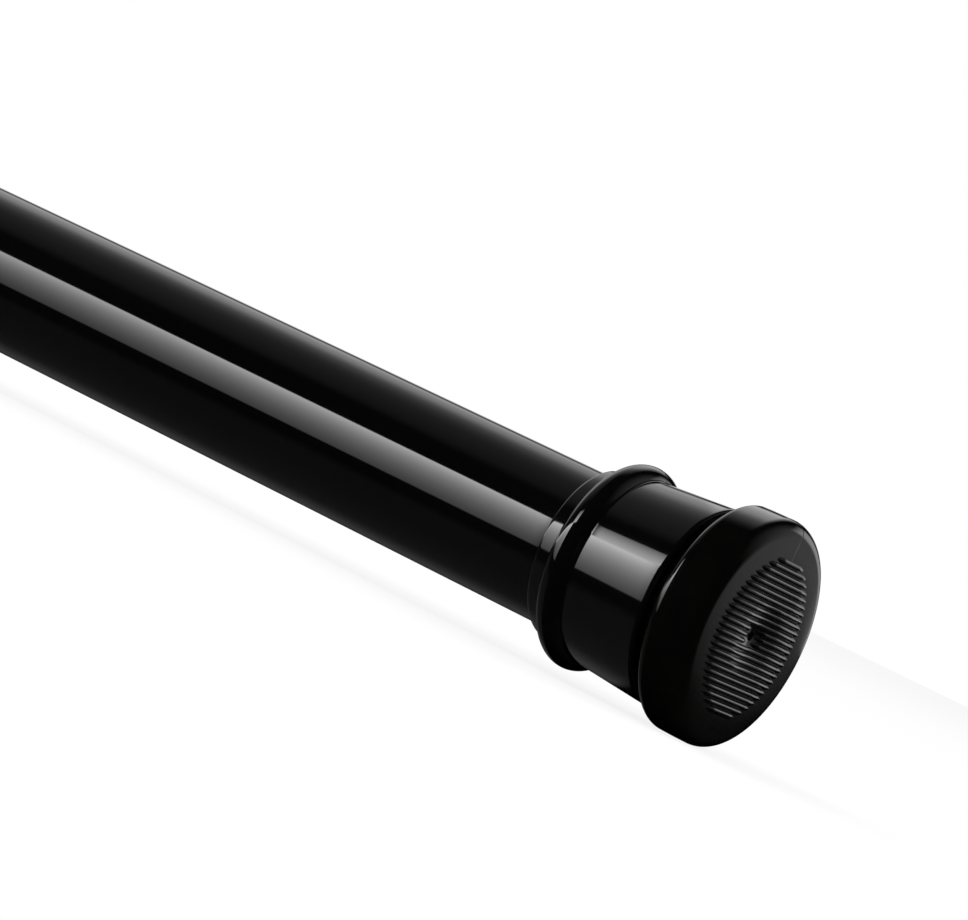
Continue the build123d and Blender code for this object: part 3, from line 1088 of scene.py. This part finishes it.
def add_card():
    """A small lit card by the thick end's sleeve, which makes the strip light taller in its barrel."""
    studio = bpy.context.scene.rod_studio
    material, tree = new_material("sleeve_card")
    _, y, z = tree.place()
    lost_at_top = 0.72
    fade = angle_round_rod(y, z).ramp(studio.card_low, studio.card_high)
    tree.light(studio.card_power * (1 - lost_at_top * fade))
    middle = (studio.card_low + studio.card_high) / 2
    outward = Vector((0, -cos(middle), sin(middle)))
    upward = Vector((0, sin(middle), cos(middle)))
    height = studio.card_radius * (studio.card_high - studio.card_low)
    width = studio.card_back - studio.card_front
    centre = outward * studio.card_radius - AXIS * (studio.card_front + width / 2)
    stretch = Matrix((AXIS * width, upward * height, outward)).transposed().to_4x4()
    place = Matrix.Translation(centre) @ stretch
    half_unit = 0.5
    shape = bmesh.new()
    bmesh.ops.create_grid(shape, x_segments=1, y_segments=1, size=half_unit, matrix=place)
    reflected_only(stage_object("sleeve_card", shape, material))


def add_tent():
    """A closed drum round the rod that only its reflections see."""
    studio = bpy.context.scene.rod_studio
    middle = (studio.tent_ahead - studio.tent_behind) / 2
    along_rod = Matrix.Translation((middle, 0, 0)) @ Matrix.Rotation(pi / 2, 4, "Y")
    shape = bmesh.new()
    bmesh.ops.create_cone(
        shape,
        cap_ends=True,
        segments=128,
        radius1=studio.tent_radius,
        radius2=studio.tent_radius,
        depth=studio.tent_behind + studio.tent_ahead,
        matrix=along_rod,
    )
    reflected_only(stage_object("reflection_tent", shape, tent_material()))


# Name, place, side length and power of each lamp, in metres and watts
LAMPS = (
    ("key_lamp", (-0.9, -1.4, 1.8), 1.4, 34),
    ("fill_lamp", (0.9, 1.3, 1.7), 1.6, 22),
)


def add_lamp(name, place, size, power):
    """A soft square lamp that looks at the rod's middle and doesn't show in its reflections."""
    lamp = bpy.data.lights.new(name, "AREA")
    lamp.shape = "SQUARE"
    lamp.size = size
    lamp.energy = power
    item = bpy.data.objects.new(name, lamp)
    item.location = place
    item.rotation_euler = (AXIS * FAR_FACE / 2 - Vector(place)).to_track_quat("-Z", "Y").to_euler()
    item.visible_glossy = False
    bpy.context.scene.collection.objects.link(item)


def add_world():
    """White to the camera and in mirrors, plain grey light otherwise."""
    world = bpy.data.worlds.new("studio_world")
    world.use_nodes = True
    tree = Tree(world.node_tree)
    fill_power, white_power = 0.6, 1.0
    fill, white = (
        tree.add("ShaderNodeBackground", None, {"Color": (1, 1, 1, 1), "Strength": power}).outputs[0]
        for power in (fill_power, white_power)
    )
    mix = tree.add("ShaderNodeMixShader", None, (tree.seen_directly(), fill, white))
    tree.add("ShaderNodeOutputWorld", None, (mix.outputs[0],))
    bpy.context.scene.world = world


def add_camera():
    """The camera: level with the rod, turned round it and rolled about its own axis."""
    studio = bpy.context.scene.rod_studio
    across = Vector((cos(studio.azimuth), sin(studio.azimuth), 0))
    back = Vector((sin(studio.azimuth), -cos(studio.azimuth), 0))
    up = back.cross(across)
    right = cos(studio.roll) * across + sin(studio.roll) * up
    top = -sin(studio.roll) * across + cos(studio.roll) * up
    lens = bpy.data.cameras.new("studio_camera")
    lens.lens = studio.focal
    lens.sensor_width = 36.0
    lens.clip_start = 0.01
    lens.clip_end = 100
    camera = bpy.data.objects.new("studio_camera", lens)
    camera.rotation_mode = "QUATERNION"
    camera.rotation_quaternion = Matrix((right, top, back)).transposed().to_quaternion()
    camera.location = Vector(studio.target) + back * studio.distance
    bpy.context.scene.collection.objects.link(camera)
    bpy.context.scene.camera = camera


class ROD_OT_stage(bpy.types.Operator):
    """Build the floor, the reflection tent and its card, the lamps, the world and the camera"""

    bl_idname = "rod.stage"
    bl_label = "Studio"

    def execute(self, context):
        context.scene.view_settings.view_transform = "Standard"
        add_floor()
        add_tent()
        add_card()
        for lamp in LAMPS:
            add_lamp(*lamp)
        add_world()
        add_camera()
        return {"FINISHED"}


OPERATORS = (
    ROD_OT_tubes,
    ROD_OT_sleeves,
    ROD_OT_feet,
    ROD_OT_bush,
    ROD_OT_spring,
    ROD_OT_inner_works,
    ROD_OT_stage,
)


class ROD_PT_sidebar(bpy.types.Panel):
    """Lists the rod's pieces and their sizes"""

    bl_label = "Spring Tension Rod"
    bl_idname = "ROD_PT_sidebar"
    bl_space_type = "VIEW_3D"
    bl_region_type = "UI"
    bl_category = "Tension Rod"

    def draw(self, context):
        for operator in OPERATORS:
            self.layout.operator(operator.bl_idname)
        for attribute, group in PANES:
            box = self.layout.box()
            box.label(text=group.__doc__)
            for name in group.__annotations__:
                box.prop(getattr(context.scene, attribute), name)


CLASSES = (*(group for attribute, group in PANES), *OPERATORS, ROD_PT_sidebar)


def register():
    for item in CLASSES:
        bpy.utils.register_class(item)
    for attribute, group in PANES:
        setattr(bpy.types.Scene, attribute, PointerProperty(type=group))


def unregister():
    for attribute, group in PANES:
        delattr(bpy.types.Scene, attribute)
    for item in reversed(CLASSES):
        bpy.utils.unregister_class(item)


def main():
    """Builds the rod and its studio."""
    register()
    bpy.ops.rod.tubes()
    bpy.ops.rod.sleeves()
    bpy.ops.rod.feet()
    bpy.ops.rod.bush()
    bpy.ops.rod.spring()
    bpy.ops.rod.inner_works()
    bpy.ops.rod.stage()


if __name__ == "__main__":
    main()
